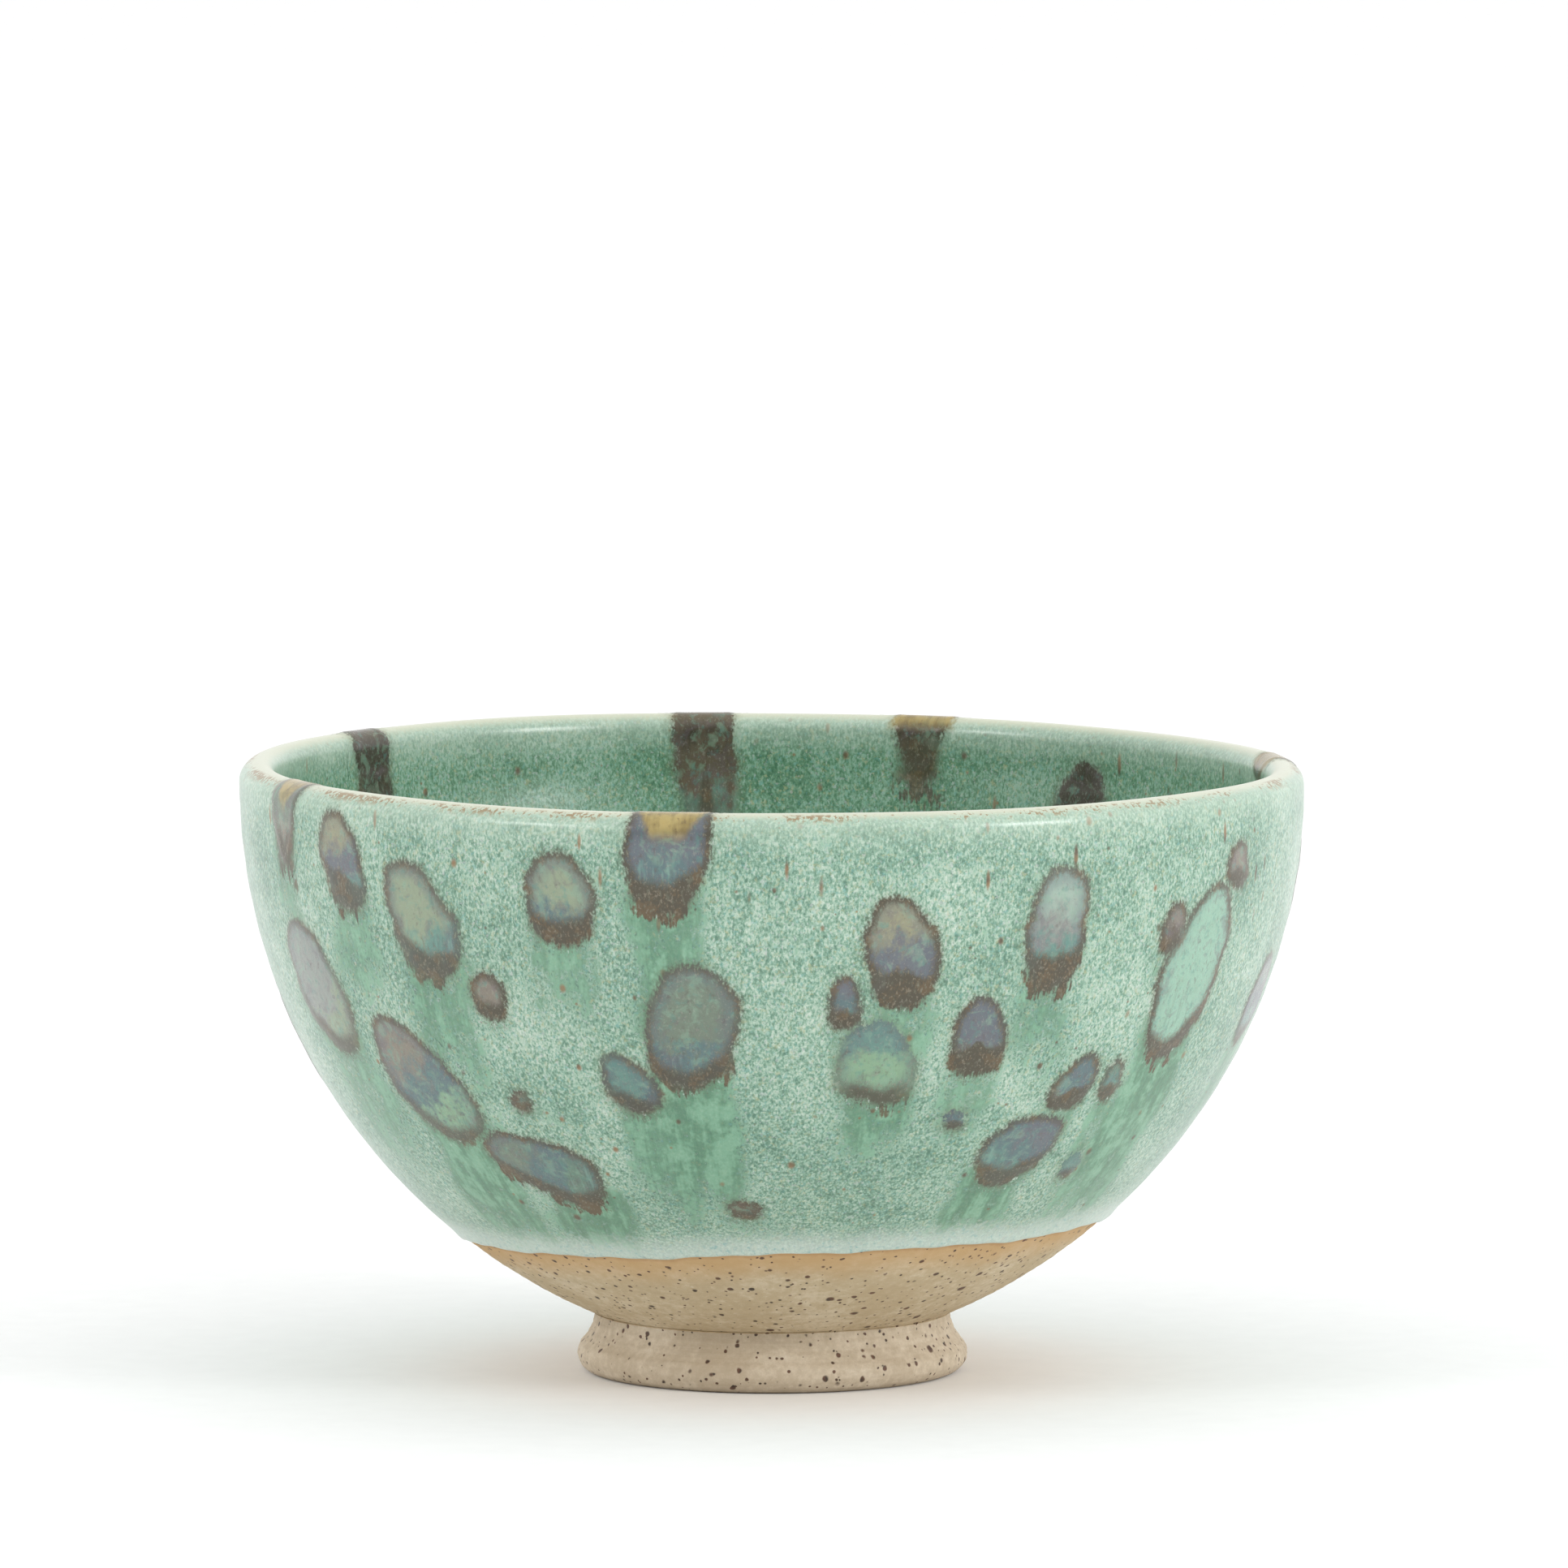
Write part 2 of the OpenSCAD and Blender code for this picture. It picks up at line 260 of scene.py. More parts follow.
# Each drop outside: bearing, height in percent from the glaze line to the rim, width,
# length, lean of its top to the right; colours from the top down; strength of the dark
# ring and of the bluish flank; lengths of the pool, the fringe and the green run
# below; strength of that run
OUTER_DROPS = [
    (-53, 86, 7.2, 10.5, -18, "kvt", 0.8, 0.5, 2.8, 2.2, 14, 0.55),
    (-41, 75, 9.0, 13.0, -22, "sst", 0.8, 0.9, 1.9, 2.4, 16, 0.65),
    (-23, 82, 8.0, 9.6, 14, "ssb", 0.9, 1.0, 1.3, 1.2, 12, 0.6),
    (-63, 57, 10.5, 16.5, -28, "aas", 0.7, 0.5, 1.0, 0.6, 18, 0.6),
    (-33, 60, 4.0, 5.4, -15, "mmm", 1.0, 0.2, 0.9, 0.5, 3, 0.3),
    (-47, 39, 10.5, 17.0, -30, "mbl", 0.8, 0.8, 0.7, 0.7, 20, 0.9),
    (-9, 55, 10.4, 14.2, 8, "oob", 0.8, 0.9, 1.1, 2.8, 22, 1.0),
    (-17, 42, 5.0, 8.2, -30, "ttb", 0.7, 0.9, 1.1, 1.4, 14, 0.8),
    (-32, 22, 8.0, 14.0, -62, "obu", 0.9, 0.8, 0.6, 2.6, 9, 0.9),
    (-32, 37, 2.2, 2.6, 0, "eee", 0.7, 0.0, 0.3, 0.3, 0, 0.0),
    (-4, 14, 2.4, 3.4, -65, "eee", 0.6, 0.0, 0.3, 0.5, 4, 0.4),
    (14, 71, 7.8, 12.6, -5, "kvv", 1.0, 0.7, 3.2, 1.8, 9, 0.6),
    (8, 60, 3.4, 5.8, 0, "vbe", 0.9, 0.3, 1.4, 1.0, 8, 0.6),
    (12, 47, 9.0, 9.6, 0, "tll", 0.25, 0.7, 0.7, 2.6, 10, 0.8),
    (32, 75, 7.8, 13.0, 3, "pat", 0.9, 0.8, 2.4, 3.6, 12, 0.6),
    (24, 52, 6.4, 8.8, 5, "vve", 0.9, 0.6, 3.0, 2.0, 9, 0.6),
    (54, 62, 10.4, 21.0, 16, "ggg", 1.0, 0.35, 1.1, 2.6, 30, 1.0),
    (60, 84, 4.4, 5.0, 10, "mme", 0.9, 0.4, 1.0, 0.6, 0, 0.0),
    (49, 72, 4.2, 5.2, 12, "mee", 0.9, 0.4, 0.8, 0.8, 6, 0.4),
    (39, 40, 5.0, 7.2, 25, "bbe", 0.9, 0.5, 2.0, 1.6, 8, 0.5),
    (45, 40, 3.0, 4.4, 0, "ute", 0.7, 0.2, 0.9, 1.0, 14, 0.6),
    (34, 26, 8.8, 10.0, 35, "vbt", 0.8, 0.8, 1.4, 1.4, 10, 0.9),
    (23, 34, 2.4, 2.2, 0, "bbb", 0.3, 0.2, 0.2, 0.3, 3, 0.4),
    (45, 21, 2.6, 3.6, 0, "ttb", 0.2, 0.2, 0.2, 0.3, 5, 0.5),
    (76, 52, 7.0, 11.0, 10, "avt", 0.6, 0.6, 1.0, 1.0, 14, 0.7),
    (92, 74, 8.0, 12.0, -6, "pat", 0.9, 0.7, 2.0, 2.4, 12, 0.7),
    (103, 46, 10.0, 15.0, 12, "oob", 0.8, 0.9, 1.2, 2.4, 20, 0.9),
    (117, 83, 6.0, 9.0, 4, "kvt", 0.9, 0.6, 2.2, 1.6, 10, 0.6),
    (124, 32, 8.0, 10.0, -20, "vbt", 0.8, 0.8, 1.2, 1.4, 12, 0.9),
    (135, 64, 9.0, 13.0, -12, "sst", 0.8, 0.9, 1.8, 2.2, 16, 0.7),
    (147, 80, 5.0, 7.0, 0, "kve", 1.0, 0.5, 1.8, 1.2, 8, 0.5),
    (155, 42, 10.0, 14.0, 10, "mbl", 0.8, 0.8, 1.0, 2.0, 20, 0.9),
    (167, 70, 8.0, 11.0, 6, "kvv", 1.0, 0.7, 2.8, 1.8, 10, 0.6),
    (175, 25, 6.0, 8.0, -30, "obu", 0.9, 0.7, 0.8, 2.0, 9, 0.8),
    (186, 55, 9.0, 14.0, -15, "ggl", 0.8, 0.4, 1.0, 2.4, 18, 0.9),
    (198, 82, 7.0, 9.0, 8, "ssb", 0.9, 0.9, 1.6, 2.0, 12, 0.6),
    (206, 36, 8.0, 12.0, 20, "bbt", 0.8, 0.8, 1.4, 1.8, 14, 0.8),
    (216, 66, 10.0, 15.0, -8, "oot", 0.9, 0.9, 1.6, 2.4, 18, 0.8),
    (227, 48, 5.0, 7.0, 0, "mme", 1.0, 0.4, 1.6, 1.0, 8, 0.5),
    (235, 78, 8.0, 10.0, 12, "kvt", 0.9, 0.7, 2.0, 1.8, 12, 0.6),
    (243, 28, 8.0, 9.0, 25, "vbt", 0.8, 0.8, 1.0, 1.6, 10, 0.9),
    (253, 60, 9.0, 13.0, -10, "aas", 0.8, 0.8, 1.2, 1.8, 16, 0.8),
    (265, 82, 6.0, 8.0, 5, "kve", 1.0, 0.5, 1.8, 1.4, 9, 0.5),
    (271, 40, 8.0, 12.0, 14, "bbl", 0.8, 0.8, 1.0, 2.0, 16, 0.8),
]

# Inside: bearing, angle below level on the wall arc, then as above
LINER_DROPS = [
    (140, 8, 7.0, 11.0, 0, "ddd", 0.2, 0.0, 1.0, 2.0, 10, 0.6),
    (35, 17, 7.0, 9.0, 10, "kvt", 0.8, 0.6, 1.6, 1.6, 12, 0.6),
    (-20, 27, 9.0, 12.0, -8, "oob", 0.8, 0.8, 1.2, 2.0, 14, 0.8),
    (-75, 20, 6.0, 9.0, 0, "vbt", 0.8, 0.7, 1.4, 1.6, 12, 0.7),
    (84, 32, 8.0, 11.0, 6, "sst", 0.8, 0.8, 1.4, 2.0, 14, 0.7),
    (184, 35, 7.0, 10.0, -12, "bbt", 0.8, 0.7, 1.2, 1.8, 12, 0.7),
]

# Over the rim: bearing, width, reach down the outside and down the inside, narrowing
# towards the low end, gold on the crest, then as above from the colours
RIM_DROPS = [
    (-65, 6.6, 9.0, 2.6, 0.5, 0.9, "mom", 0.6, 0.3, 1.6, 3.0, 10, 0.6),
    (-11, 9.4, 10.4, 3.4, 0.04, 1.0, "evb", 1.0, 0.9, 2.0, 2.2, 22, 0.8),
    (-125, 6.4, 3.0, 12.0, 0.0, 0.1, "ddd", 0.3, 0.0, 1.5, 1.5, 8, 0.5),
    (-172, 7.0, 4.0, 16.0, 0.12, 0.15, "deu", 0.3, 0.0, 3.0, 2.0, 8, 0.7),
    (162, 6.6, 3.0, 6.5, 0.4, 0.9, "dde", 0.4, 0.0, 2.0, 2.5, 6, 0.5),
    (100, 7.4, 13.0, 3.0, 0.1, 0.8, "evt", 0.9, 0.7, 1.6, 2.4, 16, 0.7),
]


class Drop:
    """One drop, laid out flat: u to the right and v up, in mm from its middle. `way` is
    1 for a drop that ran down the outside and -1 for one that ran down the inside."""

    def __init__(self, number, bearing, along, half_w, half_l, lean, way, square, narrow,
                 gold, hues, ring, flank, pool, fringe, run, run_strength):
        self.number = number
        self.bearing, self.along = deg(bearing), along
        self.half_w, self.half_l = half_w, half_l
        self.lean, self.way = deg(lean), way
        self.square, self.narrow = square, narrow
        self.gold, self.ring, self.flank = gold, ring, flank
        self.pool, self.fringe = pool, fringe
        self.run, self.run_strength = run, run_strength
        self.hues = [srgb(*HUES[h])[:3] for h in hues]
        self.around = float(skin.at(along)[0])
        self.phases = rng.uniform(0, math.tau, 4)
        self.unevenness = min(1.4, half_w / 3.0)

    def turned(self, bearing, along):
        across = (np.mod(bearing - self.bearing + math.pi, math.tau) - math.pi) * self.around
        up = -(along - self.along) * self.way
        return across, up

    def flat(self, bearing, along):
        across, up = self.turned(bearing, along)
        c, s = math.cos(self.lean), math.sin(self.lean)
        return across * c - up * s, across * s + up * c

    def unflat(self, u, v):
        c, s = math.cos(self.lean), math.sin(self.lean)
        across, up = u * c + v * s, v * c - u * s
        return self.bearing + across / self.around, self.along - up * self.way

    def width_at(self, v):
        share = np.clip(v / self.half_l, -1.3, 1.3)
        return self.half_w * (1 + self.narrow * share)

    def shore(self, u, v):
        """Distance from the drop's edge, below zero inside it."""
        wide = self.width_at(v)
        n = self.square
        x, y = np.abs(u) / wide, np.abs(v) / self.half_l
        q = np.maximum((x ** n + y ** n) ** (1 / n), 1e-4)
        slope = np.hypot((x / q) ** (n - 1) / wide, (y / q) ** (n - 1) / self.half_l)
        slope = np.maximum(slope, 1 / self.half_l)
        turn = np.arctan2(v, u)
        a, b, c, d = self.phases
        uneven = (0.24 * np.sin(2 * turn + a) + 0.17 * np.sin(3 * turn + b)
                  + 0.11 * np.sin(5 * turn + c) + 0.07 * np.sin(9 * turn + d))
        return (q - 1) / slope + self.unevenness * uneven * np.minimum(q, 1.0)

    def under(self, u, v):
        """How squarely the nearest edge faces downhill: 1 below, 0 beside, -1 above."""
        n = self.square
        over_u = np.sign(u) * np.abs(u / self.half_w) ** (n - 1) / self.half_w
        over_v = np.sign(v) * np.abs(v / self.half_l) ** (n - 1) / self.half_l
        up = over_v * math.cos(self.lean) - over_u * math.sin(self.lean)
        return -up / np.maximum(np.hypot(over_u, over_v), 1e-6)

    def trail(self, bearing, along):
        """How much of the green run below the drop reaches each point."""
        if not self.run:
            return np.zeros_like(along)
        across, up = self.turned(bearing, along)
        low = -up - 0.35 * self.half_l
        length = self.run + 0.65 * self.half_l
        share = low / length
        a, b, c, _ = self.phases
        centre = (-self.half_l * math.sin(self.lean) * 0.5
                  + 0.12 * self.half_w * np.sin(low * 0.35 + a))
        wide = self.half_w * (0.92 + 0.3 * np.clip(share, 0, 1) + 0.12 * np.sin(low * 0.5 + b))
        wide = wide + 0.35 * self.half_l * abs(math.sin(self.lean))
        side = 1 - ease(np.abs((across - centre) / wide), 0.55, 1.3)
        fade = 1 - ease(share + 0.07 * np.sin(across * 1.1 + c), 0.5, 1.12)
        return self.run_strength * side * ease(share, -0.05, 0.14) * fade


# 2 is an oval and more is squarer; below zero, the low end is the wider one
ROUND_DROP, SQUARER_SPILL = 2.1, 2.3
WIDER_BELOW = -0.1


def wall_drops(rows, find_along, way):
    return [Drop(number, bearing, find_along(where), wide / 2, long / 2, lean, way,
                 ROUND_DROP, WIDER_BELOW, 0.0, hues, *look)
            for number, (bearing, where, wide, long, lean, hues, *look) in enumerate(rows)]


def along_outside(percent):
    return float(skin.outside(LINE_Z + (RIM_Z - LINE_Z) * percent / 100))


def along_inside(down):
    return float(skin.inside(LIP_Z - HOLLOW_WALL_ARC * math.sin(deg(down))))


def rim_spills(rows):
    made = []
    for number, (bearing, wide, out, inn, narrow, gold, hues, *look) in enumerate(rows):
        outer = float(skin.outside(RIM_Z - out))
        inner = float(skin.inside(RIM_Z - inn))
        way = 1 if out > inn else -1
        made.append(Drop(number, bearing, (outer + inner) / 2, wide / 2,
                         (outer - inner) / 2, 0, way, SQUARER_SPILL, narrow, gold, hues,
                         *look))
    return made


drops = {"outer": wall_drops(OUTER_DROPS, along_outside, 1),
         "liner": wall_drops(LINER_DROPS, along_inside, -1),
         "rim": rim_spills(RIM_DROPS)}
every_drop = [d for kind in drops.values() for d in kind]

# How far a drop's lens reaches past its edge, and where edges stop mattering, in mm
MARGIN = 1.6
FAR = 9.0


def lay_out(bearing, along):
    """What the drops do at each point of the glaze, as named lists."""
    nearest = np.full(len(bearing), FAR)
    shores = []
    for d in every_drop:
        shore = np.minimum(d.shore(*d.flat(bearing, along)), FAR)
        shores.append(shore)
        nearest = np.minimum(nearest, shore)
    total = np.zeros(len(bearing))
    mixed = {k: np.zeros(len(bearing))
             for k in ("fall", "under", "pool", "fringe", "ring", "flank", "gold")}
    hues = {k: np.zeros((len(bearing), 3)) for k in ("crown", "belly", "sole")}
    run = np.zeros(len(bearing))
    for d, shore in zip(every_drop, shores):
        close = shore < nearest + 3.0
        share = np.where(close, np.exp(-(shore - nearest) / 0.45), 0.0)
        total += share
        u, v = d.flat(bearing, along)
        mixed["fall"] += share * np.clip(v / d.half_l, -1.6, 1.6)
        mixed["under"] += share * d.under(u, v)
        for name in ("pool", "fringe", "ring", "flank", "gold"):
            mixed[name] += share * getattr(d, name)
        for name, hue in zip(("crown", "belly", "sole"), d.hues):
            hues[name] += share[:, None] * np.array(hue)
        run = np.maximum(run, d.trail(bearing, along))
    fields = {name: value / total for name, value in mixed.items()}
    for name, value in hues.items():
        fields[name] = value / total[:, None]
    fields["shore"] = nearest
    fields["run"] = run
    fields["crest"] = along
    fields["hem"] = np.where(along > 0, line_along(bearing) - along, FAR)
    return fields


PROUD, BANK = 0.075, 0.035
SINK = 0.07


def swell(shore):
    """How far a drop stands proud of the coat: level inside, with a faint bank."""
    bank = np.exp(-((shore + 0.5) / 0.45) ** 2)
    return PROUD * (1 - ease(shore, -1.1, 0.9)) + BANK * bank * (1 - ease(shore, 0.2, 1.1))


# ---- Turning pieces on the wheel
# The drum's radius in mm, the angle past which an edge stays sharp, and the slices
DRUM = 100.0
SHARP = deg(48)
SECTORS = 12
STEPS, FINE_STEPS = 432, 540


def to_mesh(name, bm):
    bmesh.ops.recalc_face_normals(bm, faces=bm.faces[:])
    for face in bm.faces:
        face.smooth = True
    for edge in bm.edges:
        if edge.calc_face_angle(0.0) > SHARP:
            edge.smooth = False
    mesh = bpy.data.meshes.new(name)
    bm.to_mesh(mesh)
    bm.free()
    return mesh


def vertices(mesh):
    flat = np.empty(len(mesh.vertices) * 3)
    mesh.vertices.foreach_get("co", flat)
    return flat.reshape(-1, 3)


def move_vertices(mesh, points):
    mesh.vertices.foreach_set("co", np.ascontiguousarray(points).ravel())
    mesh.update()


def mark(mesh, fields):
    for name, value in fields.items():
        if value.ndim == 1:
            layer = mesh.attributes.new(name, "FLOAT", "POINT")
            layer.data.foreach_set("value", value.astype(np.float32))
        else:
            layer = mesh.attributes.new(name, "FLOAT_COLOR", "POINT")
            rgba = np.column_stack([value, np.ones(len(value))])
            layer.data.foreach_set("color", rgba.astype(np.float32).ravel())


def finish_piece(name, mesh, node, paint):
    piece = bpy.data.objects.new(name, mesh)
    bpy.context.scene.collection.objects.link(piece)
    mesh.materials.append(paint)
    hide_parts(node)
    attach(piece, "root")
    return piece


def spin_up(section, steps, closed):
    """Spins a section, given as (radius, height) points in mm, right round the axis:
    one slice is spun, and its copies are joined into the full round."""
    bm = bmesh.new()
    line = [bm.verts.new((r, 0.0, z)) for r, z in section]
    ends = line[1:] + line[:1] if closed else line[1:]
    edges = [bm.edges.new(pair) for pair in zip(line, ends)]
    bmesh.ops.spin(bm, geom=line + edges, cent=(0, 0, 0), axis=(0, 0, 1),
                   angle=math.tau / SECTORS, steps=steps // SECTORS)
    slice_mesh = bpy.data.meshes.new("slice")
    bm.to_mesh(slice_mesh)
    bm.clear()
    for _ in range(SECTORS):
        bm.from_mesh(slice_mesh)
        slice_mesh.transform(Matrix.Rotation(math.tau / SECTORS, 4, "Z"))
    bpy.data.meshes.remove(slice_mesh)
    bmesh.ops.remove_doubles(bm, verts=bm.verts[:], dist=0.002)
    return bm


def close_poles(mesh):
    bm = bmesh.new()
    bm.from_mesh(mesh)
    bmesh.ops.remove_doubles(bm, verts=bm.verts[:], dist=1e-7)
    bmesh.ops.recalc_face_normals(bm, faces=bm.faces[:])
    bm.to_mesh(mesh)
    bm.free()


def coat_piece(name, section, steps, closed, node, paint):
    """A coat of glaze, spun flat round a drum as (depth, along) and then laid on the bowl."""
    mesh = to_mesh(name, spin_up([(DRUM - depth, along) for along, depth in section],
                                 steps, closed))
    flat = vertices(mesh)
    bearing = bearing_at(flat)
    along = flat[:, 2].copy()
    depth = DRUM - np.hypot(flat[:, 0], flat[:, 1])
    stretch = (line_along(bearing) - HOLD_ALONG) / (EDGE_ALONG - HOLD_ALONG)
    low = along > HOLD_ALONG
    along[low] = (HOLD_ALONG + (along - HOLD_ALONG) * stretch)[low]
    fields = lay_out(bearing, along)
    under_drop = SINK * (1 - ease(fields["shore"], 0.2, MARGIN - 0.3))
    on_top = depth < COAT / 2
    r, z = skin.at(along, depth + np.where(on_top, under_drop, 0.0))
    move_vertices(mesh, set_down(bearing, r, z) * MM)
    mark(mesh, fields)
    if not closed:
        close_poles(mesh)
    return finish_piece(name, mesh, node, paint)


def drop_piece(name, kind, node, rings, paint):
    """All drops of one kind: each is a ball pressed to a thin lens over its place."""
    bm = bmesh.new()
    bmesh.ops.create_uvsphere(bm, u_segments=rings[0], v_segments=rings[1], radius=1.0)
    for edge in bm.edges:
        edge.smooth = not all(abs(v.co.z) < 1e-5 for v in edge.verts)
    one = bpy.data.meshes.new("ball")
    bm.to_mesh(one)
    bm.clear()
    for _ in drops[kind]:
        bm.from_mesh(one)
    mesh = to_mesh(name, bm)
    ball = vertices(mesh)
    number = np.arange(len(ball)) // len(one.vertices)
    bpy.data.meshes.remove(one)
    bearing = np.zeros(len(number))
    along = np.zeros(len(number))
    for d in drops[kind]:
        mine = number == d.number
        x, y, _ = ball[mine].T
        reach = np.hypot(x, y)
        power = 2.0 / d.square
        u = np.sign(x) * np.abs(x) ** power * reach ** (1 - power)
        v = np.sign(y) * np.abs(y) ** power * reach ** (1 - power)
        v = v * (d.half_l + MARGIN + 0.15)
        u = u * (d.width_at(v * 0.9) + MARGIN + 0.25)
        bearing[mine], along[mine] = d.unflat(u, v)
    fields = lay_out(bearing, along)
    reach = np.clip(np.hypot(ball[:, 0], ball[:, 1]), 0, 1)
    lift = 0.006 + 0.005 * (number % 3) + (0.012 if kind == "rim" else 0.0)
    top = ball[:, 2] > -1e-5
    rise = np.where(top, swell(fields["shore"]) + lift, -0.12 * (1 - reach ** 4) + lift)
    r, z = skin.at(along, -rise)
    move_vertices(mesh, set_down(bearing, r, z) * MM)
    mark(mesh, fields)
    return finish_piece(name, mesh, node, paint)


# ---- Mixing paints: sums on sockets read as plain arithmetic
class Wire:
    def __init__(self, paint, socket):
        self.paint, self.socket = paint, socket

    def maths(self, operation, *values, swap=False):
        terms = (values[0], self) if swap else (self,) + values
        return self.paint.node("ShaderNodeMath", {"operation": operation},
                               dict(enumerate(terms)))

    def __add__(self, other):
        return self.maths("ADD", other)

    def __sub__(self, other):
        return self.maths("SUBTRACT", other)

    def __mul__(self, other):
        return self.maths("MULTIPLY", other)

    def __truediv__(self, other):
        return self.maths("DIVIDE", other)

    def __rsub__(self, other):
        return self.maths("SUBTRACT", other, swap=True)

    __radd__ = __add__
    __rmul__ = __mul__

    def above(self, limit):
        return self.maths("GREATER_THAN", limit)

    def size(self):
        return self.maths("ABSOLUTE")

    def highest(self, other):
        return self.maths("MAXIMUM", other)

    def lowest(self, other):
        return self.maths("MINIMUM", other)

    def ease(self, start, end):
        """0 at start, 1 at end, softly."""
        return self.paint.node(
            "ShaderNodeMapRange", {"interpolation_type": "SMOOTHSTEP"},
            {"Value": self, "From Min": start, "From Max": end, "To Min": 0.0, "To Max": 1.0})


class Paint:
    def __init__(self, owner):
        owner.use_nodes = True
        self.owner, self.tree = owner, owner.node_tree

    def node(self, kind, settings, sockets, out=0):
        made = self.tree.nodes.new(kind)
        for name, value in settings.items():
            if name == "stops":
                ramp = made.color_ramp
                while len(ramp.elements) < len(value):
                    ramp.elements.new(1.0)
                for element, (place, hue) in zip(ramp.elements, value):
                    element.position, element.color = place, hue
            else:
                setattr(made, name, value)
        for name, value in sockets.items():
            if isinstance(value, Wire):
                self.tree.links.new(value.socket, made.inputs[name])
            else:
                made.inputs[name].default_value = value
        return Wire(self, made.outputs[out]) if made.outputs else None

    def field(self, name):
        return self.node("ShaderNodeAttribute", {"attribute_name": name}, {}, "Fac")

    def field_hue(self, name):
        return self.node("ShaderNodeAttribute", {"attribute_name": name}, {}, "Color")

    def place(self):
        return self.node("ShaderNodeTexCoord", {}, {}, "Object")

    def stretched(self, place, factor):
        return self.node("ShaderNodeVectorMath", {"operation": "MULTIPLY"},
                         {0: place, 1: factor})

    def shifted(self, place, offset):
        return self.node("ShaderNodeVectorMath", {"operation": "ADD"}, {0: place, 1: offset})

    def noise(self, place, size, detail=2.0, rough=0.5, wander=0.0):
        """Cloudy pattern whose patches are about `size` mm across."""
        return self.node("ShaderNodeTexNoise", {},
                         {"Vector": place, "Scale": 1.0 / (size * MM), "Detail": detail,
                          "Roughness": rough, "Distortion": wander}, "Fac")

    def specks(self, place, spacing, radius, share, soft=0.35):
        """Scattered dots: one cell in `share` holds one, of up to `radius` mm."""
        cell = {"Vector": place, "Scale": 1.0 / (spacing * MM), "Randomness": 1.0}
        gap = self.node("ShaderNodeTexVoronoi", {}, cell, "Distance") * spacing
        chance = self.node("ShaderNodeSeparateColor", {},
                           {0: self.node("ShaderNodeTexVoronoi", {}, cell, "Color")}, "Red")
        spread = self.node("ShaderNodeSeparateColor", {},
                           {0: self.node("ShaderNodeTexVoronoi", {}, cell, "Color")}, "Green")
        full = radius * (0.5 + 0.5 * spread)
        dot = 1.0 - (gap / full).ease(1.0 - soft, 1.0)
        return dot * (1.0 - chance.above(share))

    def mix(self, share, first, second):
        """Two hues, each a wire or the name of a shade."""
        first, second = (srgb(*SHADES[hue]) if isinstance(hue, str) else hue
                         for hue in (first, second))
        return self.node("ShaderNodeMix", {"data_type": "RGBA", "clamp_factor": True},
                         {0: share, 6: first, 7: second}, 2)

    def ramp(self, share, places, shades):
        stops = [(place, srgb(*hue)) for place, hue in zip(places, shades)]
        return self.node("ShaderNodeValToRGB", {"stops": stops}, {"Fac": share}, "Color")

    def bump(self, height, distance, strength=1.0):
        return self.node("ShaderNodeBump", {},
                         {"Height": height, "Distance": distance * MM, "Strength": strength},
                         "Normal")

    def finish(self, hue, roughness, normal, settings):
        sockets = {"Base Color": hue, "Roughness": roughness, "Normal": normal}
        sockets.update(settings)
        shader = self.node("ShaderNodeBsdfPrincipled", {}, sockets, "BSDF")
        self.node("ShaderNodeOutputMaterial", {}, {"Surface": shader})
        return self.owner


def new_paint(name):
    paint = Paint(bpy.data.materials.new(name))
    paint.tree.nodes.clear()
    return paint


# ---- The glazes
OUTSIDE_TONES = ((82, 122, 102), (124, 162, 140), (164, 192, 172), (200, 213, 199))
INSIDE_TONES = ((66, 112, 84), (98, 142, 112), (128, 168, 144), (160, 190, 172))
TONE_PLACES = (0.0, 0.38, 0.7, 1.0)
RUN_TONES = ((70, 116, 88), (90, 138, 108), (122, 170, 140))

SHADES = {
    "khaki crystal": (176, 176, 132), "blue crystal": (112, 172, 168),
    "lilac crystal": (190, 192, 194), "green pit": (84, 120, 98),
    "dark rust": (88, 66, 46), "light rust": (138, 102, 64),
    "pale rim": (194, 212, 194), "cream crest": (204, 204, 180),
    "ochre fleck": (140, 110, 66), "white hem": (208, 220, 212),
    "blue hem": (118, 170, 168), "blue flank": (86, 98, 108),
    "green swirl": (134, 170, 146), "violet swirl": (104, 92, 100),
    "pale strand": (136, 176, 160), "dark strand": (74, 86, 78),
    "brown grain": (84, 74, 66), "silver grain": (160, 162, 150),
    "teal": (84, 136, 126), "dark ring": (74, 68, 52), "rusty ring": (106, 86, 56),
    "grey ring grain": (112, 116, 98), "silver ring grain": (150, 148, 134),
    "halo": (104, 124, 94), "dark spray": (84, 80, 70), "silver glint": (206, 212, 208),
    "gold": (140, 120, 60), "pale gold": (176, 156, 92), "burnt gold": (96, 78, 44),
    "worn clay": (166, 148, 120), "turned groove": (162, 144, 114),
    "toasted clay": (198, 158, 106), "stained edge": (160, 112, 68),
    "dark iron": (44, 28, 20), "brown iron": (92, 54, 34), "burn": (120, 92, 66),
    "pale grit": (216, 206, 180), "soiled foot": (140, 120, 92),
}


